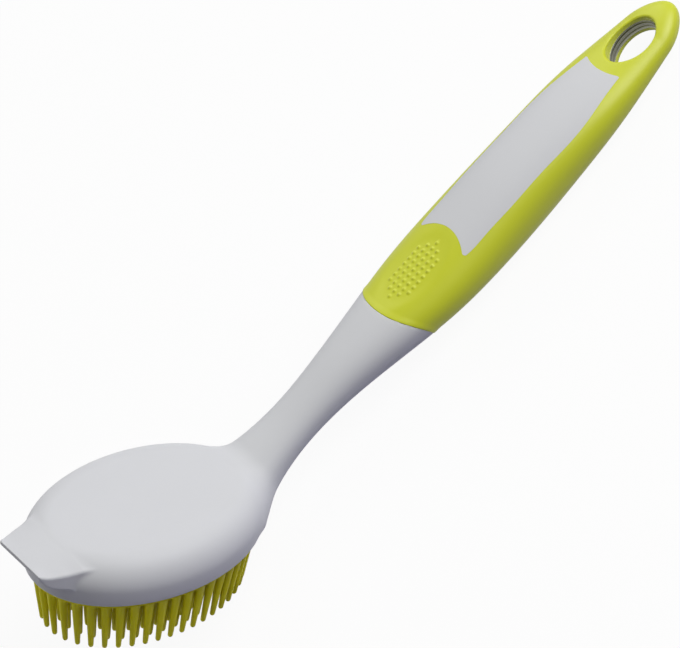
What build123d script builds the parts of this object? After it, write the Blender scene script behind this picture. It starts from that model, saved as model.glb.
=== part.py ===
from build123d import *
import math
import os

# Dish brush with a silicone pin pad, lying at rest on its heel pins and on the belly of its grip.
# X runs from the head to the hanging loop, Z is up, and Y = 0 is the plane of symmetry.
# The origin is on the resting surface, below the middle of the whole brush. Sizes are in millimetres.

# Head: an oval shell, open below, whose rim plane leans down towards the handle.
head_x = -96.15
head_height = 37.2
head_tilt = 38.6
head_half_length = 39.2
head_half_width = 28.3
head_depth = 14.7
head_edge = 8.2
head_flare = 0.6
head_flare_height = 5.0
head_wall = 2.2
rim_clearance = 1.3
rib_thickness = 1.6
cross_rib = 14.0

# Scraper lip: its side profile, as distances along the rim plane and heights above it, and its outline.
lip_top_root = (-22.0, 14.2)
lip_top_crease = (-32.9, 14.2)
lip_top_front = (-45.1, 12.6)
lip_under_front = (-45.0, 11.3)
lip_under_middle = (-41.0, 7.6)
lip_under_root = (-35.0, 3.4)
lip_under_back = (-22.0, 3.4)
lip_front_half_width = 10.3
lip_wall = -34.0
lip_wall_half_width = 13.7
lip_root_half_width = 15.0
lip_corner = 1.2

# Silicone pad with its pins, and the carrier plate that it is keyed into.
pad_inset = 0.8
pad_flange = 1.3
pad_plug = 1.6
plug_inset = 3.0
pin_length = 20.2
pin_foot_half_length = 35.6
pin_foot_half_width = 25.5
pin_tip_half_length = 33.7
pin_tip_half_width = 22.7
pin_base = 2.5
pin_tip = 1.2
pin_rings = [(44, 0.5), (36, 0.5), (30, 0.0), (24, 0.5), (18, 0.5), (12, 0.5), (6, 0.5)]
pin_root = 0.5
carrier_thickness = 2.0
key_radius = 1.6
key_head_radius = 2.5
key_head_height = 1.2
key_head_taper = 20.0
carrier_gap = 0.1
key_spots = [(-27, 8), (-20, 16), (-7, 7), (-7, 19), (7, 7), (7, 19), (20, 16), (27, 8)]

# Handle stations: distance from the head's centre, height, half width, half thickness.
neck_stations = [
    (26.0, 19.6, 16.2, 3.5),
    (31.0, 19.3, 13.8, 5.6),
    (36.0, 18.9, 11.2, 6.7),
    (44.0, 18.5, 9.0, 6.4),
    (55.6, 17.9, 7.95, 5.9),
    (75.1, 16.7, 9.0, 6.9),
]
grip_stations = [
    (94.4, 14.9, 12.0, 8.1),
    (113.8, 13.1, 14.9, 8.9),
    (133.3, 11.7, 15.4, 10.0),
    (152.7, 10.8, 14.8, 10.7),
    (172.2, 10.3, 14.3, 9.9),
    (191.7, 9.9, 13.6, 8.0),
    (208.0, 9.2, 11.6, 5.9),
    (219.0, 8.7, 9.9, 4.65),
]
dome_length = 12.8
dome_steps = [0.42, 0.7, 0.88, 0.985]
dome_narrowing = 0.23
dome_edge = 0.35
section_power = 2.5
section_points = 16

# Overmoulded grip: its slanted, curved collar, its thickness over the core, and the window in its top.
collar = 100.2
collar_height = 14.6
collar_lean = 18.0
collar_sag = 5.4
collar_span = 20.0
grip_reach = 160.0
grip_wall = 3.2
core_end = 203.0
core_end_half_width = 8.6
core_end_half_height = 3.0
window_start = 126.8
window_waist = 174.0
window_end = 201.0
window_half_width = 11.0
window_end_half_width = 7.6
window_taper = 0.2
thumb_bulge = 4.7
loop_bulge = 1.8
lock_slots = [116.0, 137.0, 158.0, 179.0]
lock_length = 11.0
lock_width = 6.0

# Thumb pad: a near-square lattice of low pips in five rows along the handle.
pad_middle = 114.6
pip_pitch = 2.19
pip_radius = 0.68
pip_rise = 0.45
pip_counts = [7, 9, 11, 9, 7]

# Hanging hole, the core's eye round it, and its metal liner.
hole = 213.5
hole_half_length = 9.35
hole_half_width = 6.3
hole_height = 8.7
liner_wall = 0.8
liner_height = 4.6
eye_wall = 1.5
through = 60.0


def superellipse(half_width, half_height, middle_height):
    # Points of |y / half_width| ^ power + |z / half_height| ^ power = 1, round the section.
    points = []
    for step in range(section_points):
        angle = 2 * math.pi * step / section_points
        c = math.cos(angle)
        s = math.sin(angle)
        y = half_width * math.copysign(abs(c) ** (2 / section_power), c)
        z = half_height * math.copysign(abs(s) ** (2 / section_power), s)
        points.append((y, middle_height + z))
    return points


def across(distance):
    # The upright plane across the handle at a distance from the head's centre.
    return Plane.YZ.offset(head_x + distance)


def lofted(stations, growth):
    # A smooth solid through upright oval sections, each grown by the same amount all round.
    with BuildPart() as form:
        for distance, height, half_width, half_thickness in stations:
            with BuildSketch(across(distance)):
                with BuildLine():
                    Spline(*superellipse(half_width + growth, half_thickness + growth, height), periodic=True)
                make_face()
        loft()
    return form.part


def dome_stations():
    # The loop's rounded end: a quarter ellipse in plan, thinning towards the tip.
    start, height, half_width, half_thickness = grip_stations[-1]
    stations = []
    for step in dome_steps:
        fall = math.sqrt(1 - step**2)
        thinning = dome_edge + (1 - dome_edge) * fall
        narrowing = fall * (1 - dome_narrowing * step)
        place = start + step * dome_length
        stations.append((place, height, half_width * narrowing, half_thickness * thinning))
    return stations


def pin_places():
    # Feet and tips of the pins: one in the middle, and rings of evenly spaced tips on ovals of one shape.
    # Each ring has a count and a shift in pitches. Pins lean inwards, in proportion to their distance out.
    draw_length = pin_foot_half_length / pin_tip_half_length
    draw_width = pin_foot_half_width / pin_tip_half_width
    places = [(Vector(0, 0), Vector(0, 0))]
    for ring, (count, shift) in enumerate(pin_rings):
        share = 1 - ring / len(pin_rings)
        oval = Edge.make_ellipse(pin_tip_half_length * share, pin_tip_half_width * share)
        for step in range(count):
            tip = oval @ ((step + shift) / count)
            places.append((Vector(tip.X * draw_length, tip.Y * draw_width), tip))
    return places


def pin(foot, tip):
    # A square pin that tapers from its foot, just inside the pad, to its tip.
    ends = []
    for middle, depth, side_length in ((foot, pad_flange - pin_root, pin_base), (tip, pin_length, pin_tip)):
        centre = rim.from_local_coords(Vector(middle.X, middle.Y, -depth))
        ends.append(Wire.make_rect(side_length, side_length, Plane(centre, rim.x_dir, rim.z_dir)))
    return Solid.make_loft(ends, ruled=True)


# The rim plane of the head: its x axis points from the scraper to the handle, its z axis out of the top.
tilt = math.radians(head_tilt)
rim = Plane(
    origin=(head_x, 0, head_height),
    x_dir=(math.cos(tilt), 0, -math.sin(tilt)),
    z_dir=(math.sin(tilt), 0, math.cos(tilt)),
)
rim_side = Plane(origin=rim.origin, x_dir=rim.x_dir, z_dir=(0, -1, 0))
carrier_plane = rim.offset(pad_plug)
carrier_top = rim.offset(pad_plug + carrier_thickness)
key_places = [(x, side * y) for x, y in key_spots for side in (-1, 1)]
lean = math.radians(collar_lean)
collar_plan = Plane(
    origin=(head_x + collar, 0, collar_height),
    x_dir=(math.cos(lean), 0, math.sin(lean)),
    z_dir=(-math.sin(lean), 0, math.cos(lean)),
)
liner_plane = Plane.XY.offset(hole_height - liner_height / 2)
hole_x = head_x + hole
panel_floor = grip_stations[4][1]

# The outer form of the whole handle, from inside the head to the loop's tip, and the core's spine in it.
handle_stations = neck_stations + grip_stations + dome_stations()
handle_form = lofted(handle_stations, 0)
core_tip = (core_end, hole_height, core_end_half_width + grip_wall, core_end_half_height + grip_wall)
spine = lofted(grip_stations[:-2] + [core_tip], -grip_wall)

# The zone that the grip covers, beyond a curved wall that leans back with the collar.
with BuildPart() as grip_zone:
    with BuildSketch(collar_plan):
        with BuildLine():
            ThreePointArc((collar_sag, -collar_span), (0, 0), (collar_sag, collar_span))
            Polyline(
                (collar_sag, collar_span),
                (grip_reach, collar_span),
                (grip_reach, -collar_span),
                (collar_sag, -collar_span),
            )
        make_face()
    extrude(amount=through, both=True)

# The panel: the part of the outer form that stands in the grip's window.
with BuildPart() as panel:
    with BuildSketch(Plane.XY.offset(panel_floor)):
        with BuildLine():
            near_start = (head_x + window_start, -window_half_width)
            near_waist = (head_x + window_waist, -window_half_width)
            near_end = (head_x + window_end, -window_end_half_width)
            far_start = (head_x + window_start, window_half_width)
            far_waist = (head_x + window_waist, window_half_width)
            far_end = (head_x + window_end, window_end_half_width)
            Line(near_start, near_waist)
            Spline(near_waist, near_end, tangents=[(1, 0), (1, window_taper)])
            ThreePointArc(near_end, (head_x + window_end - loop_bulge, 0), far_end)
            Spline(far_end, far_waist, tangents=[(-1, window_taper), (-1, 0)])
            Line(far_waist, far_start)
            ThreePointArc(far_start, (head_x + window_start + thumb_bulge, 0), near_start)
        make_face()
    extrude(amount=through)
    add(handle_form, mode=Mode.INTERSECT)

# The scraper's wedge, cut out of its outline seen from above by its side profile.
with BuildPart() as lip:
    with BuildSketch(rim) as lip_outline:
        with BuildLine():
            Polyline(
                (lip_top_root[0], -lip_root_half_width),
                (lip_wall, -lip_wall_half_width),
                (lip_top_front[0], -lip_front_half_width),
                (lip_top_front[0], lip_front_half_width),
                (lip_wall, lip_wall_half_width),
                (lip_top_root[0], lip_root_half_width),
                close=True,
            )
        make_face()
        fillet(lip_outline.vertices().group_by(Axis.X)[0], lip_corner)
    extrude(amount=head_depth)
    with BuildSketch(rim_side):
        with BuildLine():
            Polyline(lip_under_root, lip_under_back, lip_top_root)
            Polyline(lip_top_root, lip_top_crease, lip_top_front, lip_under_front)
            ThreePointArc(lip_under_front, lip_under_middle, lip_under_root)
        make_face()
    extrude(amount=head_half_width, both=True, mode=Mode.INTERSECT)

# The hollow inside the head, with a long rib and two cross ribs standing over the carrier.
with BuildPart() as cavity:
    with BuildSketch(rim):
        Ellipse(head_half_length - head_wall, head_half_width - head_wall)
    extrude(amount=head_depth - head_wall)
    fillet(cavity.faces().sort_by(Axis(rim.origin, rim.z_dir))[-1].edges(), head_edge - head_wall)
    with BuildSketch(carrier_top):
        Rectangle(2 * head_half_length, rib_thickness)
        with Locations((-cross_rib, 0), (cross_rib, 0)):
            Rectangle(rib_thickness, 2 * head_half_width)
    extrude(amount=head_depth, mode=Mode.SUBTRACT)

# Core: scraper, head shell, neck, spine, panel and eye in one hard moulding.
with BuildPart() as core:
    with BuildSketch(rim):
        Ellipse(head_half_length, head_half_width)
    with BuildSketch(rim.offset(head_flare_height)):
        Ellipse(head_half_length + head_flare, head_half_width + head_flare)
    loft()
    with BuildSketch(rim.offset(head_flare_height)):
        Ellipse(head_half_length + head_flare, head_half_width + head_flare)
    extrude(amount=head_depth - head_flare_height)
    fillet(core.faces().sort_by(Axis(rim.origin, rim.z_dir))[-1].edges(), head_edge)
    add(lip.part)
    add(handle_form)
    add(grip_zone.part, mode=Mode.SUBTRACT)
    with BuildSketch(rim):
        Ellipse(head_half_length * rim_clearance, head_half_width * rim_clearance)
    extrude(amount=-head_depth, mode=Mode.SUBTRACT)
    add(cavity.part, mode=Mode.SUBTRACT)
    add(spine)
    add(panel.part)
    with BuildSketch(liner_plane):
        with Locations((hole_x, 0)):
            Ellipse(hole_half_length + liner_wall + eye_wall, hole_half_width + liner_wall + eye_wall)
    extrude(amount=liner_height)
    with BuildSketch(Plane.XY):
        with Locations((hole_x, 0)):
            Ellipse(hole_half_length + liner_wall, hole_half_width + liner_wall)
    extrude(amount=through, mode=Mode.SUBTRACT)
    with BuildSketch(Plane.XY):
        with Locations([(head_x + place, 0) for place in lock_slots]):
            SlotOverall(lock_length, lock_width)
    extrude(amount=panel_floor, mode=Mode.SUBTRACT)
core.part.label = "head_handle_core"

# Liner: an oval metal ring pressed into the core's eye.
with BuildPart() as liner:
    with BuildSketch(liner_plane):
        with Locations((hole_x, 0)):
            Ellipse(hole_half_length + liner_wall, hole_half_width + liner_wall)
            Ellipse(hole_half_length, hole_half_width, mode=Mode.SUBTRACT)
    extrude(amount=liner_height)
liner.part.label = "hanging_ring"

# The thumb pad's pips, cut from the handle's form grown by their height.
with BuildPart() as pips:
    add(lofted(neck_stations + grip_stations, pip_rise))
    with BuildSketch(Plane.XY.offset(panel_floor)):
        for row, count in enumerate(pip_counts):
            row_y = (row - (len(pip_counts) - 1) / 2) * pip_pitch
            with Locations((head_x + pad_middle, row_y)):
                with GridLocations(pip_pitch, pip_pitch, count, 1):
                    Circle(pip_radius)
    extrude(amount=through, mode=Mode.INTERSECT)

# Grip: the soft moulding round the core's spine, with its window, thumb pips and loop.
with BuildPart() as grip:
    add(handle_form)
    add(grip_zone.part, mode=Mode.INTERSECT)
    add(pips.part)
    add(core.part, mode=Mode.SUBTRACT)
    add(liner.part, mode=Mode.SUBTRACT)
    with BuildSketch(Plane.XY):
        with Locations((hole_x, 0)):
            Ellipse(hole_half_length, hole_half_width)
    extrude(amount=through, mode=Mode.SUBTRACT)
grip.part.label = "soft_grip"

# Carrier: the hard plate across the head, with a hole for each of the pad's keys.
with BuildPart() as carrier:
    with BuildSketch(carrier_plane):
        Ellipse(head_half_length - head_wall - carrier_gap, head_half_width - head_wall - carrier_gap)
        with Locations(key_places):
            Circle(key_radius, mode=Mode.SUBTRACT)
    extrude(amount=carrier_thickness)
carrier.part.label = "bristle_carrier"

# Pad: flange under the rim, plug under the carrier, mushroom keys through it, and all the pins.
pins = [pin(foot, tip) for foot, tip in pin_places()]
with BuildPart() as pad:
    with BuildSketch(rim):
        Ellipse(head_half_length - pad_inset, head_half_width - pad_inset)
    extrude(amount=-pad_flange)
    with BuildSketch(rim):
        Ellipse(head_half_length - plug_inset, head_half_width - plug_inset)
    extrude(amount=pad_plug)
    with BuildSketch(carrier_plane):
        with Locations(key_places):
            Circle(key_radius)
    extrude(amount=carrier_thickness)
    with BuildSketch(carrier_top):
        with Locations(key_places):
            Circle(key_head_radius)
    extrude(amount=key_head_height, taper=key_head_taper)
    add(pins)
pad.part.label = "bristle_pad"

print("pins:", len(pins), "pips:", sum(pip_counts))
os.makedirs("parts", exist_ok=True)
export_step(core.part, "parts/head_handle_core.step")
export_step(grip.part, "parts/soft_grip.step")
export_step(liner.part, "parts/hanging_ring.step")
export_step(carrier.part, "parts/bristle_carrier.step")
export_step(pad.part, "parts/bristle_pad.step")
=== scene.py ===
import math

import bmesh
import bpy
import numpy as np
from mathutils import Matrix, Vector


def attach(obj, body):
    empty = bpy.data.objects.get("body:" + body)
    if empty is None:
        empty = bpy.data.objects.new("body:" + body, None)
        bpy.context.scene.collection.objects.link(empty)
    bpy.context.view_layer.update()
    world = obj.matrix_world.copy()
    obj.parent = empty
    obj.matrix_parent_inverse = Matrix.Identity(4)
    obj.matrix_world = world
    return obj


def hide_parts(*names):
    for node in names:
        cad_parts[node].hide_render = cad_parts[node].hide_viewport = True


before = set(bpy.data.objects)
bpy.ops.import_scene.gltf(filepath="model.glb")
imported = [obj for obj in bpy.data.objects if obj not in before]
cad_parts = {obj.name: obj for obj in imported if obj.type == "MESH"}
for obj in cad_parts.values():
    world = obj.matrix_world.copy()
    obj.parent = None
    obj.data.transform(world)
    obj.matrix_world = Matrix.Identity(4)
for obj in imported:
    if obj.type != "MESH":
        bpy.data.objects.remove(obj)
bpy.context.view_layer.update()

# Dish brush in its CAD frame. Shapes are worked out in millimetres and put into the meshes in metres.
milli = 0.001


# Camera, light and floor

view = {
    "place": (-0.06615, -0.5532, 0.7527),
    "right": (0.6486, -0.6276, -0.4306),
    "up": (0.7585, 0.4866, 0.4333),
    "focalPixels": 3006.7,
    "photoWidth": 680,
    "sensor": 36.0,
    "clip": (0.05, 20.0),
}

light = {
    "lamps": {
        "keyLamp": {"turn": (0.69, -0.32, 0.65), "distance": 2.0, "size": 1.5, "power": 34.5, "gloss": 0.2},
        "backLamp": {"turn": (-0.44, 0.86, 0.26), "distance": 2.0, "size": 1.5, "power": 9.5, "gloss": 1.0},
        "topLamp": {"turn": (0.50, 0.60, 0.62), "distance": 2.0, "size": 1.5, "power": 10.5, "gloss": 6.0},
        "headLamp": {"turn": (-0.84, -0.23, 0.50), "distance": 2.0, "size": 1.5, "power": 4.5, "gloss": 0.5},
    },
    "fillColour": (0.84, 0.82, 1.00),  # faint violet sky that fills the shaded sides
    "fillStrength": 0.02,
    "floorSize": 3.0,
    "floorColour": (0.93, 0.93, 0.93),
    "floorBounce": (0.24, 0.23, 0.38),
    "floorGlow": 0.93,
}


def setCamera():
    # The back axis is right x up, so the camera looks along its opposite.
    camera = bpy.data.objects.new("photoCamera", bpy.data.cameras.new("photoCamera"))
    bpy.context.scene.collection.objects.link(camera)
    right = Vector(view["right"]).normalized()
    up = (Vector(view["up"]) - Vector(view["up"]).dot(right) * right).normalized()
    back = right.cross(up)
    turn = Matrix((right, up, back)).transposed().to_4x4()
    camera.matrix_world = Matrix.Translation(Vector(view["place"])) @ turn
    camera.data.sensor_fit = "HORIZONTAL"
    camera.data.sensor_width = view["sensor"]
    camera.data.lens = view["focalPixels"] * view["sensor"] / view["photoWidth"]
    camera.data.clip_start, camera.data.clip_end = view["clip"]
    bpy.context.scene.camera = camera


def setLight():
    # Each lamp hangs at its distance along its turn and shines at the origin.
    for name, setting in light["lamps"].items():
        lamp = bpy.data.lights.new(name, "AREA")
        lamp.shape = "DISK"
        lamp.size = setting["size"]
        lamp.energy = setting["power"]
        lamp.specular_factor = setting["gloss"]
        hung = bpy.data.objects.new(name, lamp)
        bpy.context.scene.collection.objects.link(hung)
        toLamp = Vector(setting["turn"]).normalized()
        aimed = toLamp.to_track_quat("Z", "Y").to_matrix().to_4x4()
        hung.matrix_world = Matrix.Translation(toLamp * setting["distance"]) @ aimed

    world = bpy.data.worlds.new("studio")
    bpy.context.scene.world = world
    world.use_nodes = True
    nodes, links = world.node_tree.nodes, world.node_tree.links
    nodes.clear()
    out = nodes.new("ShaderNodeOutputWorld")
    mix = nodes.new("ShaderNodeMixShader")
    fill = nodes.new("ShaderNodeBackground")
    fill.inputs["Color"].default_value = (*light["fillColour"], 1)
    fill.inputs["Strength"].default_value = light["fillStrength"]
    white = nodes.new("ShaderNodeBackground")
    white.inputs["Color"].default_value = (1, 1, 1, 1)
    white.inputs["Strength"].default_value = 1.0
    links.new(seenRay(nodes, links), mix.inputs["Fac"])
    links.new(fill.outputs[0], mix.inputs[1])
    links.new(white.outputs[0], mix.inputs[2])
    links.new(mix.outputs[0], out.inputs["Surface"])


def seenRay(nodes, links):
    # One for rays that the camera, a gloss or a glass sends, nought for diffuse ones.
    path = nodes.new("ShaderNodeLightPath")
    first = nodes.new("ShaderNodeMath")
    first.operation = "MAXIMUM"
    second = nodes.new("ShaderNodeMath")
    second.operation = "MAXIMUM"
    links.new(path.outputs["Is Camera Ray"], first.inputs[0])
    links.new(path.outputs["Is Glossy Ray"], first.inputs[1])
    links.new(first.outputs[0], second.inputs[0])
    links.new(path.outputs["Is Transmission Ray"], second.inputs[1])
    return second.outputs[0]


def setFloor():
    # White paper that glows to the camera and throws a dim violet light upwards.
    reach = light["floorSize"] / 2
    corners = [(-reach, -reach, 0), (reach, -reach, 0), (reach, reach, 0), (-reach, reach, 0)]
    mesh = bpy.data.meshes.new("floor")
    mesh.from_pydata(corners, [], [(0, 1, 2, 3)])
    floor = bpy.data.objects.new("floor", mesh)
    bpy.context.scene.collection.objects.link(floor)
    paper = bpy.data.materials.new("paleFloor")
    paper.use_nodes = True
    nodes, links = paper.node_tree.nodes, paper.node_tree.links
    nodes.clear()
    out = nodes.new("ShaderNodeOutputMaterial")
    seen = nodes.new("ShaderNodeBsdfDiffuse")
    seen.inputs["Color"].default_value = (*light["floorColour"], 1)
    glow = nodes.new("ShaderNodeEmission")
    glow.inputs["Color"].default_value = (1, 1, 1, 1)
    lit = nodes.new("ShaderNodeMixShader")
    lit.inputs["Fac"].default_value = light["floorGlow"]
    bounce = nodes.new("ShaderNodeBsdfDiffuse")
    bounce.inputs["Color"].default_value = (*light["floorBounce"], 1)
    mix = nodes.new("ShaderNodeMixShader")
    links.new(seenRay(nodes, links), mix.inputs["Fac"])
    links.new(seen.outputs[0], lit.inputs[1])
    links.new(glow.outputs[0], lit.inputs[2])
    links.new(bounce.outputs[0], mix.inputs[1])
    links.new(lit.outputs[0], mix.inputs[2])
    links.new(mix.outputs[0], out.inputs["Surface"])
    mesh.materials.append(paper)


setCamera()
setLight()
setFloor()
bpy.context.scene.view_settings.view_transform = "Standard"
print("camera, light and floor")


# Effects and materials

def newSocket(group, name, kind, inOut):
    group.interface.new_socket(name=name, in_out=inOut, socket_type=kind)


def mouldedGrain():
    # Fine moulded skin: a fine noise makes a height, and a broad one varies the roughness.
    group = bpy.data.node_groups.new("mouldedGrain", "ShaderNodeTree")
    newSocket(group, "Scale", "NodeSocketFloat", "INPUT")
    newSocket(group, "Roughness", "NodeSocketFloat", "INPUT")
    newSocket(group, "Spread", "NodeSocketFloat", "INPUT")
    newSocket(group, "Height", "NodeSocketFloat", "OUTPUT")
    newSocket(group, "Roughness", "NodeSocketFloat", "OUTPUT")
    nodes, links = group.nodes, group.links
    given = nodes.new("NodeGroupInput")
    made = nodes.new("NodeGroupOutput")
    place = nodes.new("ShaderNodeTexCoord")
    fine = nodes.new("ShaderNodeTexNoise")
    fine.inputs["Detail"].default_value = 3.0
    broad = nodes.new("ShaderNodeTexNoise")
    broad.inputs["Scale"].default_value = 60.0
    broad.inputs["Detail"].default_value = 2.0
    links.new(place.outputs["Object"], fine.inputs["Vector"])
    links.new(place.outputs["Object"], broad.inputs["Vector"])
    links.new(given.outputs["Scale"], fine.inputs["Scale"])
    links.new(fine.outputs["Fac"], made.inputs["Height"])
    lean = nodes.new("ShaderNodeMath")
    lean.operation = "SUBTRACT"
    lean.inputs[1].default_value = 0.5
    links.new(broad.outputs["Fac"], lean.inputs[0])
    vary = nodes.new("ShaderNodeMath")
    vary.operation = "MULTIPLY_ADD"
    links.new(lean.outputs[0], vary.inputs[0])
    links.new(given.outputs["Spread"], vary.inputs[1])
    links.new(given.outputs["Roughness"], vary.inputs[2])
    links.new(vary.outputs[0], made.inputs["Roughness"])
    return group


def softMottle():
    # Two close tints of one plastic, mixed by a broad cloudy noise.
    group = bpy.data.node_groups.new("softMottle", "ShaderNodeTree")
    newSocket(group, "Tint", "NodeSocketColor", "INPUT")
    newSocket(group, "Shade", "NodeSocketColor", "INPUT")
    newSocket(group, "Scale", "NodeSocketFloat", "INPUT")
    newSocket(group, "Color", "NodeSocketColor", "OUTPUT")
    nodes, links = group.nodes, group.links
    given = nodes.new("NodeGroupInput")
    made = nodes.new("NodeGroupOutput")
    place = nodes.new("ShaderNodeTexCoord")
    cloud = nodes.new("ShaderNodeTexNoise")
    cloud.inputs["Detail"].default_value = 4.0
    cloud.inputs["Roughness"].default_value = 0.55
    links.new(place.outputs["Object"], cloud.inputs["Vector"])
    links.new(given.outputs["Scale"], cloud.inputs["Scale"])
    mix = nodes.new("ShaderNodeMix")
    mix.data_type = "RGBA"
    links.new(cloud.outputs["Fac"], mix.inputs["Factor"])
    links.new(given.outputs["Tint"], mix.inputs["A"])
    links.new(given.outputs["Shade"], mix.inputs["B"])
    links.new(mix.outputs["Result"], made.inputs["Color"])
    return group


grainGroup = mouldedGrain()
mottleGroup = softMottle()


def linear(red, green, blue):
    # Screen values 0 to 255 as the linear colour that a shader wants.
    values = np.array([red, green, blue]) / 255.0
    values = np.where(values <= 0.04045, values / 12.92, ((values + 0.055) / 1.055) ** 2.4)
    return (*values.tolist(), 1.0)


moulded = {
    "ior": 1.46,
    "mottleScale": 45.0,
    "grainDepth": 0.00002,
    "insideScale": 0.001,
}


def mouldedMaterial(name, look):
    # Principled plastic or rubber with mottled colour, varied roughness and a fine grain.
    material = bpy.data.materials.new(name)
    material.use_nodes = True
    nodes, links = material.node_tree.nodes, material.node_tree.links
    shader = nodes["Principled BSDF"]
    shader.inputs["IOR"].default_value = moulded["ior"]
    shader.inputs["Specular IOR Level"].default_value = look.get("specular", 0.5)
    shader.inputs["Metallic"].default_value = look.get("metallic", 0.0)
    if "inside" in look:
        shader.inputs["Subsurface Weight"].default_value = look["inside"]
        shader.inputs["Subsurface Radius"].default_value = look["insideReach"]
        shader.inputs["Subsurface Scale"].default_value = moulded["insideScale"]
    mottle = nodes.new("ShaderNodeGroup")
    mottle.node_tree = mottleGroup
    mottle.inputs["Tint"].default_value = linear(*look["tint"])
    mottle.inputs["Shade"].default_value = linear(*look["shade"])
    mottle.inputs["Scale"].default_value = moulded["mottleScale"]
    links.new(mottle.outputs["Color"], shader.inputs["Base Color"])
    grain = nodes.new("ShaderNodeGroup")
    grain.node_tree = grainGroup
    grain.inputs["Scale"].default_value = look["grainScale"]
    grain.inputs["Roughness"].default_value = look["roughness"]
    grain.inputs["Spread"].default_value = look["spread"]
    links.new(grain.outputs["Roughness"], shader.inputs["Roughness"])
    bump = nodes.new("ShaderNodeBump")
    bump.inputs["Strength"].default_value = look["grain"]
    bump.inputs["Distance"].default_value = moulded["grainDepth"]
    links.new(grain.outputs["Height"], bump.inputs["Height"])
    links.new(bump.outputs["Normal"], shader.inputs["Normal"])
    return material


satinGrey = mouldedMaterial("satinGrey", {
    "tint": (219, 220, 222), "shade": (216, 217, 219),
    "roughness": 0.40, "spread": 0.08, "grain": 0.25, "grainScale": 2600.0, "specular": 0.10,
})
limeSoft = mouldedMaterial("limeSoft", {
    "tint": (205, 212, 40), "shade": (201, 208, 34),
    "roughness": 0.42, "spread": 0.08, "grain": 0.3, "grainScale": 2200.0, "specular": 0.6,
})
# Lime-yellow of the silicone, its tints raised well above the silicone's own colour as painted light that
# brightens the pins in the dim shade under the head.
limeSilicone = mouldedMaterial("limeSilicone", {
    "tint": (246, 238, 14), "shade": (238, 230, 10),
    "roughness": 0.55, "spread": 0.10, "grain": 0.15, "grainScale": 1800.0, "specular": 0.25,
    "inside": 0.35, "insideReach": (3.0, 2.6, 0.4),
})
brightMetal = mouldedMaterial("brightMetal", {
    "tint": (126, 126, 112), "shade": (106, 106, 94),
    "roughness": 0.28, "spread": 0.08, "grain": 0.05, "grainScale": 3500.0, "metallic": 1.0,
})
carrierPlastic = mouldedMaterial("carrierPlastic", {
    "tint": (196, 197, 201), "shade": (188, 189, 194),
    "roughness": 0.50, "spread": 0.08, "grain": 0.3, "grainScale": 2400.0,
})
print("materials")


# Shared shape code

def splineThrough(knots, values):
    # Natural cubic spline: second derivatives that keep slope and curvature continuous at every knot.
    knots = np.asarray(knots, float)
    values = np.asarray(values, float)
    gap = np.diff(knots)
    count = len(knots)
    system = np.eye(count)
    wanted = np.zeros(count)
    inner = np.arange(1, count - 1)
    system[inner, inner - 1] = gap[:-1]
    system[inner, inner] = 2 * (gap[:-1] + gap[1:])
    system[inner, inner + 1] = gap[1:]
    slope = np.diff(values) / gap
    wanted[inner] = 6 * np.diff(slope)
    bend = np.linalg.solve(system, wanted)

    def at(x):
        x = np.clip(x, knots[0], knots[-1])
        k = np.clip(np.searchsorted(knots, x) - 1, 0, count - 2)
        h = gap[k]
        a = (knots[k + 1] - x) / h
        b = (x - knots[k]) / h
        curve = ((a**3 - a) * bend[k] + (b**3 - b) * bend[k + 1]) * h**2 / 6
        return a * values[k] + b * values[k + 1] + curve

    return at


def smoothStep(x):
    # 3x^2 - 2x^3 between nought and one, flat outside.
    x = np.clip(x, 0, 1)
    return x * x * (3 - 2 * x)


def joinSoft(a, b, reach):
    # Smooth union of two distance fields: the smaller one, rounded where they are within the reach.
    share = np.clip(0.5 + 0.5 * (b - a) / reach, 0, 1)
    return b + (a - b) * share - reach * share * (1 - share)


def cutSoft(a, b, reach):
    # Smooth intersection of two distance fields.
    return -joinSoft(-a, -b, reach)


weld = {"points": 2e-6, "edges": 1e-7}


def gridFaces(rows, columns, first, closed):
    # Quads between neighbours of a rows x columns grid, closed round the columns where asked.
    r = np.arange(rows - 1)[:, None]
    c = np.arange(columns if closed else columns - 1)[None, :]
    n = (c + 1) % columns
    quads = np.stack([r * columns + c, r * columns + n, (r + 1) * columns + n, (r + 1) * columns + c], -1)
    return quads.reshape(-1, 4) + first


def makePiece(name, sheets, material, node, sharp=None):
    # One closed mesh from several grids of points, given in millimetres. Points closer than the weld
    # join, and edges sharper than the given degrees stay crisp.
    points, faces, first = [], [], 0
    for sheet in sheets:
        grid = sheet["points"]
        rows, columns = grid.shape[:2]
        points.append(grid.reshape(-1, 3))
        faces.append(gridFaces(rows, columns, first, sheet.get("closed", True)))
        first += rows * columns
    points = np.concatenate(points) * milli
    faces = np.concatenate(faces)
    mesh = bpy.data.meshes.new(name)
    mesh.from_pydata(points, [], faces.tolist())
    work = bmesh.new()
    work.from_mesh(mesh)
    bmesh.ops.remove_doubles(work, verts=work.verts, dist=weld["points"])
    bmesh.ops.dissolve_degenerate(work, edges=work.edges, dist=weld["edges"])
    bmesh.ops.recalc_face_normals(work, faces=work.faces)
    work.to_mesh(mesh)
    work.free()
    mesh.shade_smooth()
    if sharp:
        mesh.set_sharp_from_angle(angle=math.radians(sharp))
    mesh.materials.append(material)
    piece = bpy.data.objects.new(name, mesh)
    bpy.context.scene.collection.objects.link(piece)
    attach(piece, "root")
    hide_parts(node)


# The handle's form, shared by the neck and the grip, at distances from the head's centre

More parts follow.
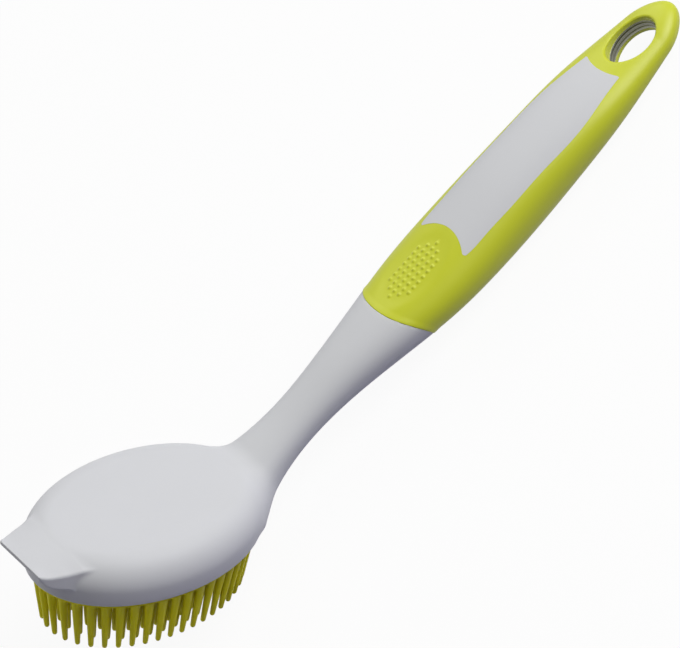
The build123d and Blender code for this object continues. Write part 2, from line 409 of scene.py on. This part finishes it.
handle = {
    "headX": -96.15,
    "distance": (26.0, 31.0, 36.0, 44.0, 55.6, 75.1, 94.4, 113.8, 133.3, 152.7, 172.2, 191.7, 208.0, 219.0),
    "height": (19.6, 19.3, 18.9, 18.5, 17.9, 16.7, 14.9, 13.1, 11.7, 10.8, 10.3, 9.9, 9.2, 8.7),
    "halfWidth": (16.2, 13.8, 11.2, 9.0, 7.95, 9.0, 12.0, 14.9, 15.4, 14.8, 14.3, 13.6, 11.6, 9.9),
    "halfThickness": (3.5, 5.6, 6.7, 6.4, 5.9, 6.9, 8.1, 8.9, 10.0, 10.7, 9.9, 8.0, 5.9, 4.65),
    "power": 2.5,
    "collar": 100.2,
    "collarHeight": 14.6,
    "collarLean": math.radians(18.0),
    "collarBend": 39.7,                 # radius of the collar's arc seen from above
    "collarSpan": 20.0,
}
formHeight = splineThrough(handle["distance"], handle["height"])
formWidth = splineThrough(handle["distance"], handle["halfWidth"])
formThickness = splineThrough(handle["distance"], handle["halfThickness"])


def collarArc(y):
    # Sag of a circle at a distance from its middle: r less the root of r^2 - y^2.
    r = handle["collarBend"]
    return r - np.sqrt(r * r - np.minimum(np.abs(y), handle["collarSpan"]) ** 2)


def beyondCollar(distance, y, z):
    # How far a point lies behind the collar's curved wall, which leans back with height.
    lean = handle["collarLean"]
    behind = (distance - handle["collar"]) * math.cos(lean) + (z - handle["collarHeight"]) * math.sin(lean)
    return behind - collarArc(y)


# Hard core: head, scraper lip, neck and the panel in the grip

head = {
    "height": 37.2,
    "tilt": math.radians(38.6),
    "halfLength": 39.2,
    "halfWidth": 28.3,
    "depth": 14.7,
    "shoulder": 8.9,
    "flare": 0.6,                       # how far the wall stands out over the rim
    "flareHeight": 6.0,
    "crown": 0.35,
    "rimRound": 0.5,
}

lip = {
    "profile": (
        (-45.15, 20.0), (-45.15, 11.5), (-44.6, 10.6), (-43.4, 8.8), (-42.0, 7.9), (-40.3, 7.2), (-36.5, 5.9),
        (-35.3, 4.9), (-34.2, 3.4), (-33.2, 1.4), (-32.6, -1.0), (-24.0, -1.0), (-24.0, 20.0),
    ),
    "halfWidthAt": (
        (-46.0, 9.9), (-45.1, 10.3), (-43.5, 11.1), (-42.0, 11.7), (-40.0, 12.4), (-38.0, 13.0),
        (-36.0, 13.55), (-34.0, 14.2), (-31.0, 15.3), (-28.0, 16.4), (-24.0, 17.6),
    ),
    "sideDropAt": (
        (-46.0, 0.0), (-45.1, 0.1), (-43.5, 0.7), (-42.0, 1.2), (-40.0, 1.6), (-38.0, 1.9),
        (-36.0, 2.2), (-34.0, 2.3), (-31.0, 2.4), (-28.0, 2.6), (-24.0, 3.0),
    ),
    "arch": 2.6,                        # how late the top falls towards the flanks
    "archEnd": 1.15,
    "front": -45.1,
    "frontHeight": 12.65,
    "slope": 0.131,
    "creaseHeight": 14.3,
    "topEdge": 0.75,
    "frontEdge": 0.3,
    "flankStretch": 1.03,               # gradients of the flank's and the top's fields
    "topStretch": 1.05,
    "join": 0.25,
    "flankJoin": 0.35,
    "joinFrom": (8.0, 5.0),             # across and up, where the flank's softer join starts
    "joinOver": (5.0, 4.0),
}

neckJoin = 4.5
coreInset = {"drop": 1.3, "over": 1.5, "end": 12.0}


def ovalDistance(x, y, a, b):
    # Near distance to an oval: k (k - 1) over the gradient of k, where k is 1 on the oval.
    k = np.sqrt((x / a) ** 2 + (y / b) ** 2) + 1e-6
    g = np.sqrt((x / a**2) ** 2 + (y / b**2) ** 2) + 1e-6 / b
    return k * (k - 1) / g


def outlineDistance(x, y, corners):
    # Signed distance to a closed outline of straight runs, negative inside.
    corners = np.asarray(corners, float)
    nearest = np.full(np.shape(x), np.inf)
    inside = np.zeros(np.shape(x), bool)
    for (ax, ay), (bx, by) in zip(corners, np.roll(corners, -1, 0)):
        ex, ey = bx - ax, by - ay
        wx, wy = x - ax, y - ay
        share = np.clip((wx * ex + wy * ey) / (ex * ex + ey * ey), 0, 1)
        nearest = np.minimum(nearest, (wx - ex * share) ** 2 + (wy - ey * share) ** 2)
        crosses = (ay > y) != (by > y)
        inside ^= crosses & (x < ex * (y - ay) / (ey if ey else 1e-9) + ax)
    nearest = np.sqrt(nearest)
    return np.where(inside, -nearest, nearest)


def toRim(distance, z):
    # Turns a distance from the head's centre and a height into the rim plane's own x and z.
    c, s = math.cos(head["tilt"]), math.sin(head["tilt"])
    return distance * c - (z - head["height"]) * s, distance * s + (z - head["height"]) * c


def fromRim(x, z):
    # The same turn the other way.
    c, s = math.cos(head["tilt"]), math.sin(head["tilt"])
    return x * c + z * s, head["height"] - x * s + z * c


lipWidth = splineThrough(*zip(*lip["halfWidthAt"]))
lipDrop = splineThrough(*zip(*lip["sideDropAt"]))


def coreField(distance, y, z):
    # Distance field of head, lip and neck: an oval with a rounded shoulder, a wedge, and an oval tube.
    # The tube is the power oval's (k - 1) / g, the shoulder a quarter circle between side and top.
    x, up = toRim(distance, z)
    side = ovalDistance(x, y, head["halfLength"], head["halfWidth"])
    side = side - head["flare"] * (1 - np.clip(1 - up / head["flareHeight"], 0, 1) ** 2)
    far = (x / head["halfLength"]) ** 2 + (y / head["halfWidth"]) ** 2
    top = up - (head["depth"] - head["crown"] * far)
    r = head["shoulder"]
    outer = np.hypot(np.maximum(side + r, 0), np.maximum(top + r, 0))
    shell = outer + np.minimum(np.maximum(side, top) + r, 0) - r
    width = lipWidth(x)
    flank = (np.abs(y) - width) / lip["flankStretch"]
    plane = lip["frontHeight"] + lip["slope"] * (x - lip["front"])
    fall = lipDrop(x) * np.minimum(np.abs(y) / width, lip["archEnd"]) ** lip["arch"]
    arch = np.minimum(plane, lip["creaseHeight"]) - fall
    wedge = cutSoft(outlineDistance(x, up, lip["profile"]), (up - arch) / lip["topStretch"], lip["frontEdge"])
    wedge = cutSoft(wedge, flank, lip["topEdge"])
    across = smoothStep((np.abs(y) - lip["joinFrom"][0]) / lip["joinOver"][0])
    upwards = smoothStep((up - lip["joinFrom"][1]) / lip["joinOver"][1])
    merge = lip["join"] + lip["flankJoin"] * across * upwards
    w, t, p = formWidth(distance), formThickness(distance), handle["power"]
    a = np.abs(y) / w
    b = np.abs(z - formHeight(distance)) / t
    k = (a**p + b**p) ** (1 / p) + 1e-9
    g = np.hypot((a / k) ** (p - 1) / w, (b / k) ** (p - 1) / t) + 1e-6
    tube = (k - 1) / g
    tube = np.maximum(tube, handle["distance"][0] - distance)
    behind = beyondCollar(distance, y, z)
    tube = tube + coreInset["drop"] * smoothStep(behind / coreInset["over"])
    tube = np.maximum(tube, behind - coreInset["end"])
    body = joinSoft(joinSoft(shell, tube, neckJoin), wedge, merge)
    return cutSoft(body, -up, head["rimRound"])


# Rings of the cage that the rays go through, in the rim plane's x and z for the head, and in distance and
# height for the neck: ray start, middle of the underside, lower corner, upper corner, middle of the top.
# The lower corners run along the rim and the upper ones along the lip's edges, so the mesh follows both.
headRings = (
    (8, (0, 6), (-45.1, 12.0), (-45.1, 0.01, 12.0), (-45.1, 0.01, 12.0), (-45.1, 12.0)),
    (34, (0, 6), (-45.1, 11.5), (-45.1, 10.3, 11.5), (-45.1, 10.3, 12.6), (-45.1, 12.65)),
    (24, (0, 6), (-39.3, 6.8), (-35.5, 13.4, 5.2), (-35.0, 13.5, 10.4), (-34.5, 14.0)),
    (26, (0, 6), (-39.2, 0), (-33.6, 14.6, 0), (-30.0, 15.0, 12.1), (-29.0, 14.4)),
    (30, (0, 6), (-20.0, 0), (-25.0, 21.8, 0), (-20.0, 20.0, 14.4), (-20.0, 14.7)),
    (26, (0, 6), (0, 0), (0, 28.3, 0), (0, 21.0, 14.6), (0, 14.7)),
    (26, (11, 6), (16.0, 0), (22.0, 23.42, 0), (17.0, 17.0, 14.4), (15.0, 14.7)),
    (22, (22, 5.5), (30.0, 0), (34.0, 14.1, 0), (27.0, 13.0, 13.0), (27.0, 14.0)),
    (22, (30, 6), (39.2, 0), (37.5, 8.245, 0), (33.0, 10.5, 11.5), (33.5, 13.0)),
)
neckRings = (
    (24, (36.0, 18.9), (37.5, 12.0), (37.0, 8.0, 14.5), (36.0, 8.0, 23.5), (36.0, 25.6)),
    (24, (60.0, 17.7), (60.0, 11.5), (60.0, 7.0, 13.0), (60.0, 7.0, 22.5), (60.0, 24.0)),
    (22, (88.0, 15.6), (91.0, 8.4), (90.5, 9.0, 9.6), (85.5, 9.0, 21.0), (85.0, 22.6)),
    (16, (103.0, 14.2), (106.0, 5.5), (105.5, 11.5, 7.0), (100.5, 11.5, 21.0), (100.0, 22.0)),
    (3, (111.0, 13.5), (113.5, 6.5), (113.0, 11.5, 8.0), (108.5, 11.5, 20.0), (108.0, 21.0)),
    (0, (111.0, 13.5), (113.5, 13.4), (113.5, 0.01, 13.4), (113.4, 0.01, 13.5), (113.4, 13.5)),
)
cage = {
    "under": 34, "side": 30, "top": 40,             # points on each part of half a ring
    "noseCrowd": 1.6, "lipCrowd": 1.35,             # powers that crowd the first rows at the lip's front
    "underCrowd": 1.5, "sideEase": (0.6, 0.4), "topCrowd": 1.4,
    "reach": 1.7, "steps": 52, "halvings": 18,
}


def cageRows():
    # Straight mixes of neighbouring rings, all turned into distance, y and height.
    table, counts = [], []
    for rings, turned in ((headRings, True), (neckRings, False)):
        for count, start, under, low, high, over in rings:
            flat = []
            for spot in (start, under, low, high, over):
                x, z = (spot[0], spot[-1])
                y = spot[1] if len(spot) == 3 else 0.0
                if turned:
                    x, z = fromRim(x, z)
                flat.append((x, y, z))
            table.append(flat)
            counts.append(count)
    table = np.array(table)
    rows = []
    for k in range(len(table) - 1):
        share = np.arange(counts[k]) / counts[k]
        if k == 0:
            share = 1 - (1 - share) ** cage["noseCrowd"]
        if k == 1:
            share = share ** cage["lipCrowd"]
        rows.append(table[k] + (table[k + 1] - table[k]) * share[:, None, None])
    rows.append(table[-1:])
    return np.concatenate(rows)


def halfRing(rows):
    # Cage points of half a ring: along the underside to the lower corner, up the side, and in over the top,
    # as powers of an even share, and on the side as a mix of it with half a cosine wave.
    under, low, high, over = (rows[:, k, None, :] for k in (1, 2, 3, 4))
    g = np.linspace(0, 1, cage["under"])[None, :, None]
    f = 1 - (1 - g) ** cage["underCrowd"]
    bottom = under + (low - under) * f**2
    bottom[..., 1] = low[..., 1] * f[..., 0]
    g = np.linspace(0, 1, cage["side"])[None, 1:, None]
    f = cage["sideEase"][0] * (0.5 - 0.5 * np.cos(math.pi * g)) + cage["sideEase"][1] * g
    side = low + (high - low) * f
    g = np.linspace(0, 1, cage["top"])[None, 1:, None]
    top = high + (over - high) * g ** cage["topCrowd"]
    return np.concatenate([bottom, side, top], 1)


def coreSurface():
    # Along each ray the field is read at even steps, then the step with the first crossing is halved.
    rows = cageRows()
    shape = halfRing(rows)
    start = np.broadcast_to(rows[:, 0, None, :], shape.shape)
    aim = shape - start
    reach = np.linalg.norm(aim, axis=-1)
    aim = aim / reach[..., None]
    steps = np.linspace(0, cage["reach"], cage["steps"])
    spots = start[..., None, :] + aim[..., None, :] * (reach[..., None] * steps)[..., None]
    field = coreField(spots[..., 0], spots[..., 1], spots[..., 2])
    outside = field > 0
    outside[..., -1] = True
    first = outside.argmax(-1)
    low = reach * steps[np.maximum(first - 1, 0)]
    high = reach * steps[first]
    for _ in range(cage["halvings"]):
        half = (low + high) / 2
        spot = start + aim * half[..., None]
        out = coreField(spot[..., 0], spot[..., 1], spot[..., 2]) > 0
        high = np.where(out, half, high)
        low = np.where(out, low, half)
    points = start + aim * ((low + high) / 2)[..., None]
    points[:, 0, 1] = 0
    points[:, -1, 1] = 0
    far = points[:, 1:-1][:, ::-1]
    near = points.copy()
    near[..., 1] *= -1
    ring = np.concatenate([near, far], 1)
    ring[0] = ring[0].mean(0)
    ring[-1] = ring[-1].mean(0)
    ring[..., 0] += handle["headX"]
    return ring


# The grey panel in the grip's window

panel = {
    "halfWidthAt": (
        (124.0, 9.4), (126.6, 10.2), (136.4, 10.8), (147.4, 11.0), (162.9, 10.8),
        (172.7, 10.9), (184.7, 10.2), (194.2, 8.6), (202.0, 7.4),
    ),
    "thumbDepth": 4.9,
    "thumbStart": 126.6,
    "thumbCorner": 1.3,
    "loopStart": 201.5,
    "loopDepth": 1.9,
    "loopCorner": 0.5,
    "cornerFrom": 0.87, "cornerOver": 0.13, "cornerPower": 2.5,
    "proud": 0.05,
    "roll": 0.35,
    "rows": 120,
    "columns": 64,
}


def topHeight(distance, y):
    # Height of the form's upper half over a plan point: middle height plus t (1 - (y / w)^p)^(1 / p).
    w, t, p = formWidth(distance), formThickness(distance), handle["power"]
    return formHeight(distance) + t * np.maximum(1 - np.minimum(np.abs(y) / w, 1) ** p, 0) ** (1 / p)


def panelSurface():
    # Plan grid between the thumb arc and the loop arc, lifted onto the form; its last cells roll under.
    halfWidth = splineThrough(*zip(*panel["halfWidthAt"]))
    along = np.linspace(0, 1, panel["rows"])[:, None]
    across = np.linspace(-1, 1, panel["columns"])[None, :]
    corner = np.maximum((np.abs(across) - panel["cornerFrom"]) / panel["cornerOver"], 0)
    corner = corner ** panel["cornerPower"]
    start = panel["thumbStart"] + panel["thumbDepth"] * (1 - across**2) + panel["thumbCorner"] * corner
    end = panel["loopStart"] - panel["loopDepth"] * (1 - across**2) - panel["loopCorner"] * corner
    distance = start + (end - start) * along
    y = across * halfWidth(distance)
    top = np.stack([distance + 0 * y, y, topHeight(distance, y) + panel["proud"]], -1)
    under = top.copy()
    under[..., 2] -= panel["roll"]
    return top, under


def gridEdge(grid):
    # The grid's outer points in one loop.
    return np.concatenate([grid[0, :], grid[1:, -1], grid[-1, -2::-1], grid[-2:0:-1, 0]])


def panelSheets():
    # Top, underside and the band that joins their edges.
    top, under = (grid + np.array([handle["headX"], 0, 0]) for grid in panelSurface())
    band = np.stack([gridEdge(top), gridEdge(under)])
    return [{"points": top, "closed": False}, {"points": under, "closed": False}, {"points": band}]


coreSheets = [{"points": coreSurface()}, *panelSheets()]
makePiece("headHandleCore", coreSheets, satinGrey, "head_handle_core", sharp=40)
print("hard core")


# Soft grip

grip = {
    "collarRound": 0.3,
    "collarProud": 0.16,
    "collarReach": 2.2,
    "tucked": (-8.0, -2.4, -1.4),       # growth of the rows inside the collar's end
    "closeRows": (0.65, 1.35, 0.2), "pipRows": (1.5, 26.0, 0.22), "farRows": (26.2, 72),
    "evenShare": 0.43, "evenPoints": 32, "edgePoints": 24, "edgeCrowd": 2.3,
    "loopFrom": 195.0,
    "pipMiddle": 114.6,
    "pipPitch": 2.19,
    "pipCounts": (7, 9, 11, 9, 7),
    "pipRadius": 0.86,
    "pipRise": 0.42,
    "dishLength": 15.0,
    "dishWidth": 8.4,
    "dishDepth": 0.32,
    "dishFrom": 0.70, "dishOver": 0.40,
    "domeStart": 219.0,
    "domeLength": 12.6,
    "domeNarrowing": 0.23,
    "leanFade": 28.0,
}
hole = {
    "distance": 213.5,
    "halfLength": 9.35,
    "halfWidth": 6.3,
    "round": 0.9,
    "crowd": 2.2,
    "roundPoints": 9, "restPoints": 30, "wallPoints": 10, "sidePoints": 24, "domePoints": 32,
}


def sectionShares():
    # Shares of the half width at the columns of half a section: even near the middle, closer at the edge.
    inner = np.linspace(0, grip["evenShare"], grip["evenPoints"])
    q = np.linspace(0, 1, grip["edgePoints"])[1:]
    outer = 1 - (1 - grip["evenShare"]) * (1 - q) ** grip["edgeCrowd"]
    return np.concatenate([inner, outer])


def pipHeight(distance, y):
    # Small rounded bumps, one on each point of the pad's lattice, in a shallow oval dish.
    height = np.zeros(np.broadcast(distance, y).shape)
    rows = len(grip["pipCounts"])
    for row, count in enumerate(grip["pipCounts"]):
        rowY = (row - (rows - 1) / 2) * grip["pipPitch"]
        along = distance - grip["pipMiddle"]
        step = np.clip(np.round(along / grip["pipPitch"]), -(count - 1) / 2, (count - 1) / 2)
        away = np.hypot(along - step * grip["pipPitch"], y - rowY) / grip["pipRadius"]
        height = np.maximum(height, grip["pipRise"] * (1 - smoothStep(away)))
    out = np.hypot((distance - grip["pipMiddle"]) / grip["dishLength"], y / grip["dishWidth"])
    return height - grip["dishDepth"] * (1 - smoothStep((out - grip["dishFrom"]) / grip["dishOver"]))


def gripRows():
    # Distance and growth of each section, from the collar's quarter-circle roll to where the loop starts.
    turn = np.linspace(0, math.pi / 2, 7)
    r = grip["collarRound"]
    rollAlong = r - r * np.cos(turn)
    rollGrowth = grip["collarProud"] - r + r * np.sin(turn)
    farFrom, farCount = grip["farRows"]
    later = np.concatenate([
        np.arange(*grip["closeRows"]), np.arange(*grip["pipRows"]),
        np.linspace(farFrom, grip["loopFrom"] - handle["collar"], farCount),
    ])
    laterGrowth = grip["collarProud"] * (1 - smoothStep((later - r) / grip["collarReach"]))
    along = np.concatenate([np.zeros(len(grip["tucked"])), rollAlong, later])
    return along, np.concatenate([grip["tucked"], rollGrowth, laterGrowth])


def gripSweep():
    # Power-oval sections that lean and bend with the collar at first and stand upright towards the loop.
    # Distance and height depend on each other through the lean, so they are worked out in a few rounds.
    shares = sectionShares()
    along, growth = gripRows()
    y0 = np.concatenate([shares, shares[-2::-1]])
    side = np.concatenate([np.ones(len(shares)), -np.ones(len(shares) - 1)])
    y0 = np.concatenate([y0, -y0[-2:0:-1]])
    side = np.concatenate([side, side[-2:0:-1]])
    middle = handle["collar"] + along[:, None]
    lean = math.tan(handle["collarLean"]) * (1 - smoothStep(along[:, None] / grip["leanFade"]))
    distance = middle + 0 * y0[None, :]
    p = handle["power"]
    rise = side[None, :] * np.maximum(1 - np.abs(y0[None, :]) ** p, 0) ** (1 / p)
    fade = lean / math.sin(handle["collarLean"])
    for _ in range(8):
        z = formHeight(distance) + (formThickness(distance) + growth[:, None]) * rise
        y = (formWidth(distance) + growth[:, None]) * y0[None, :]
        distance = middle - lean * (z - handle["collarHeight"]) + fade * collarArc(y)
    y = (formWidth(distance) + growth[:, None]) * y0[None, :]
    upper = side[None, :] > 0
    z = z + np.where(upper, pipHeight(distance, y), 0)
    points = np.stack([distance + handle["headX"], -y, z], -1)
    points[0] = points[0].mean(0)
    return points


def domeShare(distance, y):
    # Share of the way from the middle to the outline: across the handle, and as an oval in the dome.
    step = np.clip((distance - grip["domeStart"]) / grip["domeLength"], 0, 1)
    w = formWidth(distance) * (1 - grip["domeNarrowing"] * step)
    return np.sqrt(step**2 + (y / w) ** 2)


def loopOutline():
    # Plan points of the outer edge from the start of the loop to the tip, on the near side.
    side = np.linspace(grip["loopFrom"], grip["domeStart"], hole["sidePoints"])[1:]
    turn = np.linspace(0, math.pi / 2, hole["domePoints"])[1:]
    step = np.sin(turn)
    dome = grip["domeStart"] + grip["domeLength"] * step
    domeY = formWidth(grip["domeStart"]) * np.cos(turn) * (1 - grip["domeNarrowing"] * step)
    return np.concatenate([side, dome]), np.concatenate([formWidth(side), domeY])


def loopSurface():
    # Lines in plan from the hole's edge to the outline carry one profile: over the top, round the
    # upper lip, down the hole's wall, round the lower lip and back under.
    shares = sectionShares()
    leftY = formWidth(grip["loopFrom"]) * shares
    sideX, sideY = loopOutline()
    outX = np.concatenate([np.full(len(shares), grip["loopFrom"]), sideX])
    outY = np.concatenate([leftY, sideY])
    aim = np.arctan2(outY, hole["distance"] - outX)
    holeTurn = math.pi - aim
    inX = hole["distance"] + hole["halfLength"] * np.cos(holeTurn)
    inY = hole["halfWidth"] * np.sin(holeTurn)
    length = np.hypot(outX - inX, outY - inY)
    q = np.linspace(0, 1, hole["restPoints"])[1:]
    p = handle["power"]
    radius = hole["round"]

    def sheet(sign):
        # From the hole's rounded lip out to the outline, above for 1 and below for -1.
        turn = np.linspace(0, math.pi / 2, hole["roundPoints"])[None, :]
        arc = radius * (1 - np.cos(turn)) / length[:, None]
        drop = radius * (1 - np.sin(turn)) + 0 * arc
        rest = 1 - (1 - radius / length[:, None]) * (1 - q[None, :]) ** hole["crowd"]
        share = np.concatenate([arc, rest], 1)
        drop = np.concatenate([drop, 0 * rest], 1)
        x = inX[:, None] + (outX - inX)[:, None] * share
        y = inY[:, None] + (outY - inY)[:, None] * share
        rim = np.maximum(1 - np.minimum(domeShare(x, y), 1) ** p, 0) ** (1 / p)
        z = formHeight(x) + sign * (formThickness(x) * rim - drop)
        return np.stack([x + handle["headX"], y, z], -1)

    top = sheet(1)[:, ::-1]
    under = sheet(-1)
    share = np.linspace(0, 1, hole["wallPoints"])[None, 1:-1, None]
    wall = top[:, -1:] + (under[:, :1] - top[:, -1:]) * share
    near = np.concatenate([top, wall, under], 1)
    far = near[1:-1][::-1].copy()
    near = near.copy()
    near[..., 1] *= -1
    return np.concatenate([near, far], 0)


loop = loopSurface()
gripSheets = [{"points": gripSweep()}, {"points": np.concatenate([loop, loop[:1]], 0), "closed": False}]
makePiece("softGrip", gripSheets, limeSoft, "soft_grip")
print("soft grip")


# Metal liner in the hole

liner = {
    "height": 8.7,
    "depth": 4.6,
    "proud": 0.15,
    "wall": 0.75,
    "round": 0.35,
    "ridges": 2,
    "ridgeDepth": 0.25,
    "turnPoints": 97, "roundPoints": 6, "facePoints": 38,
}


def linerSurface():
    # A rounded band carried round the hole's oval, its inner face a row of ridges d (1 - cos 2 pi n s) / 2.
    turn = np.linspace(0, 2 * math.pi, liner["turnPoints"])[:-1][:, None]
    r = liner["round"]
    halfDepth = liner["depth"] / 2
    corner = np.linspace(0, math.pi / 2, liner["roundPoints"])
    inner = -liner["proud"]
    outer = liner["wall"]
    s = np.linspace(0, 1, liner["facePoints"])[1:-1]
    face = inner - liner["ridgeDepth"] * (1 - np.cos(2 * math.pi * liner["ridges"] * s)) / 2
    above, below = inner + r - r * np.sin(corner), inner + r - r * np.cos(corner)
    offset = np.concatenate([[outer], above, face, below, [outer]])
    above, below = halfDepth - r + r * np.cos(corner), -halfDepth + r - r * np.sin(corner)
    up = np.concatenate([[halfDepth], above, (halfDepth - r) * (1 - 2 * s), below, [-halfDepth]])
    x = hole["distance"] + (hole["halfLength"] + offset[None, :]) * np.cos(turn)
    y = (hole["halfWidth"] + offset[None, :]) * np.sin(turn)
    z = liner["height"] + up[None, :] + 0 * x
    return np.stack([x + handle["headX"], y, z], -1)


band = linerSurface()
ringSheets = [{"points": np.concatenate([band, band[:1]], 0)}]
makePiece("hangingRing", ringSheets, brightMetal, "hanging_ring")
print("liner")


# Silicone pad and pins

pad = {
    "inset": 0.8,
    "flange": 1.3,
    "plug": 1.6,
    "plugInset": 3.0,
    "edge": 0.35,
    "underRuns": (28.3, 12.0, 3.0), "plugRuns": (12.0, 28.3),   # insets of the rows that fill the flat faces
    "turnPoints": 145, "edgePoints": 6,
}
pins = {
    "footLength": 35.6, "footWidth": 25.5,
    "tipLength": 33.7, "tipWidth": 22.7,
    "counts": (44, 36, 30, 24, 18, 12, 6),
    "phases": (0.5, 0.5, 0.0, 0.5, 0.5, 0.5, 0.5),
    "length": 20.5,
    "footRadius": 1.5,
    "tipRadius": 0.77,
    "sides": 10,
    "footRise": 0.3, "filletDrop": 0.45, "stations": (7.5, 14.0),
    "footFlare": (0.35, 0.2),
    "capFrom": 0.25, "capPoints": 4,
    "ovalPoints": 721,
}


def padSurface():
    # Flange, its rounded lower edge and the plug above, as one profile carried round the oval.
    turn = np.linspace(0, 2 * math.pi, pad["turnPoints"])[:-1][:, None]
    r = pad["edge"]
    corner = np.linspace(0, math.pi / 2, pad["edgePoints"])
    over = [pad["inset"], pad["plugInset"], pad["plugInset"], *pad["plugRuns"]]
    inset = np.concatenate([pad["underRuns"], pad["inset"] + r - r * np.sin(corner), over])
    over = [0, 0, pad["plug"], pad["plug"], pad["plug"]]
    under = [-pad["flange"]] * len(pad["underRuns"])
    up = np.concatenate([under, -pad["flange"] + r - r * np.cos(corner), over])
    x = (head["halfLength"] - inset[None, :]) * np.cos(turn)
    y = (head["halfWidth"] - inset[None, :]) * np.sin(turn)
    distance, z = fromRim(x, up[None, :] + 0 * x)
    return np.stack([distance + handle["headX"], y, z], -1)


def pinPlaces():
    # Feet and tips on ovals of one proportion, evenly spaced along each, and one pin in the middle.
    feet, tips = [np.zeros((1, 2))], [np.zeros((1, 2))]
    rings = len(pins["counts"])
    dense = np.linspace(0, 2 * math.pi, pins["ovalPoints"])
    run = np.hypot(np.diff(pins["tipLength"] * np.cos(dense)), np.diff(pins["tipWidth"] * np.sin(dense)))
    run = np.concatenate([[0], np.cumsum(run)])
    for ring, (count, phase) in enumerate(zip(pins["counts"], pins["phases"])):
        share = (rings - ring) / rings
        turn = np.interp((np.arange(count) + phase) / count * run[-1], run, dense) + math.pi
        circle = np.stack([np.cos(turn), np.sin(turn)], -1) * share
        feet.append(circle * (pins["footLength"], pins["footWidth"]))
        tips.append(circle * (pins["tipLength"], pins["tipWidth"]))
    return np.concatenate(feet), np.concatenate(tips)


def pinSurface():
    # Each pin is a cone with a closed foot and a rounded tip: circles at falling heights, their radii a
    # straight mix of foot and tip, then r cos a down to the point.
    feet, tips = pinPlaces()
    cap = np.linspace(pins["capFrom"], 1.0, pins["capPoints"]) * math.pi / 2
    r = pins["tipRadius"]
    foot = pad["flange"]
    shaft = [foot - pins["footRise"], foot - pins["footRise"], foot, foot + pins["filletDrop"]]
    shaft = [*shaft, *pins["stations"], pins["length"] - r]
    heights = np.concatenate([shaft, pins["length"] - r + r * np.sin(cap)])
    share = (heights - foot) / (pins["length"] - foot)
    radius = pins["footRadius"] + (r - pins["footRadius"]) * share
    radius[0] = 0
    radius[1:3] += pins["footFlare"]
    radius[len(shaft):] = r * np.cos(cap)
    turn = np.linspace(0, 2 * math.pi, pins["sides"] + 1)[:-1]
    middle = feet[:, None, :] + (tips - feet)[:, None, :] * share[None, :, None]
    x = middle[:, :, None, 0] + radius[None, :, None] * np.cos(turn)
    y = middle[:, :, None, 1] + radius[None, :, None] * np.sin(turn)
    up = np.broadcast_to(-heights[None, :, None], x.shape)
    distance, z = fromRim(x, up)
    return np.stack([distance + handle["headX"], y, z], -1)


padGrid = padSurface()
padSheets = [{"points": np.concatenate([padGrid, padGrid[:1]], 0), "closed": False}]
padSheets += [{"points": onePin} for onePin in pinSurface()]
makePiece("bristlePad", padSheets, limeSilicone, "bristle_pad", sharp=50)
print("pad and pins", len(padSheets) - 1)


# Carrier: the CAD plate as it is, with its material

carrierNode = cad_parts["bristle_carrier"]
if not carrierNode.material_slots:
    carrierNode.data.materials.append(carrierPlastic)
for place in carrierNode.material_slots:
    place.material = carrierPlastic
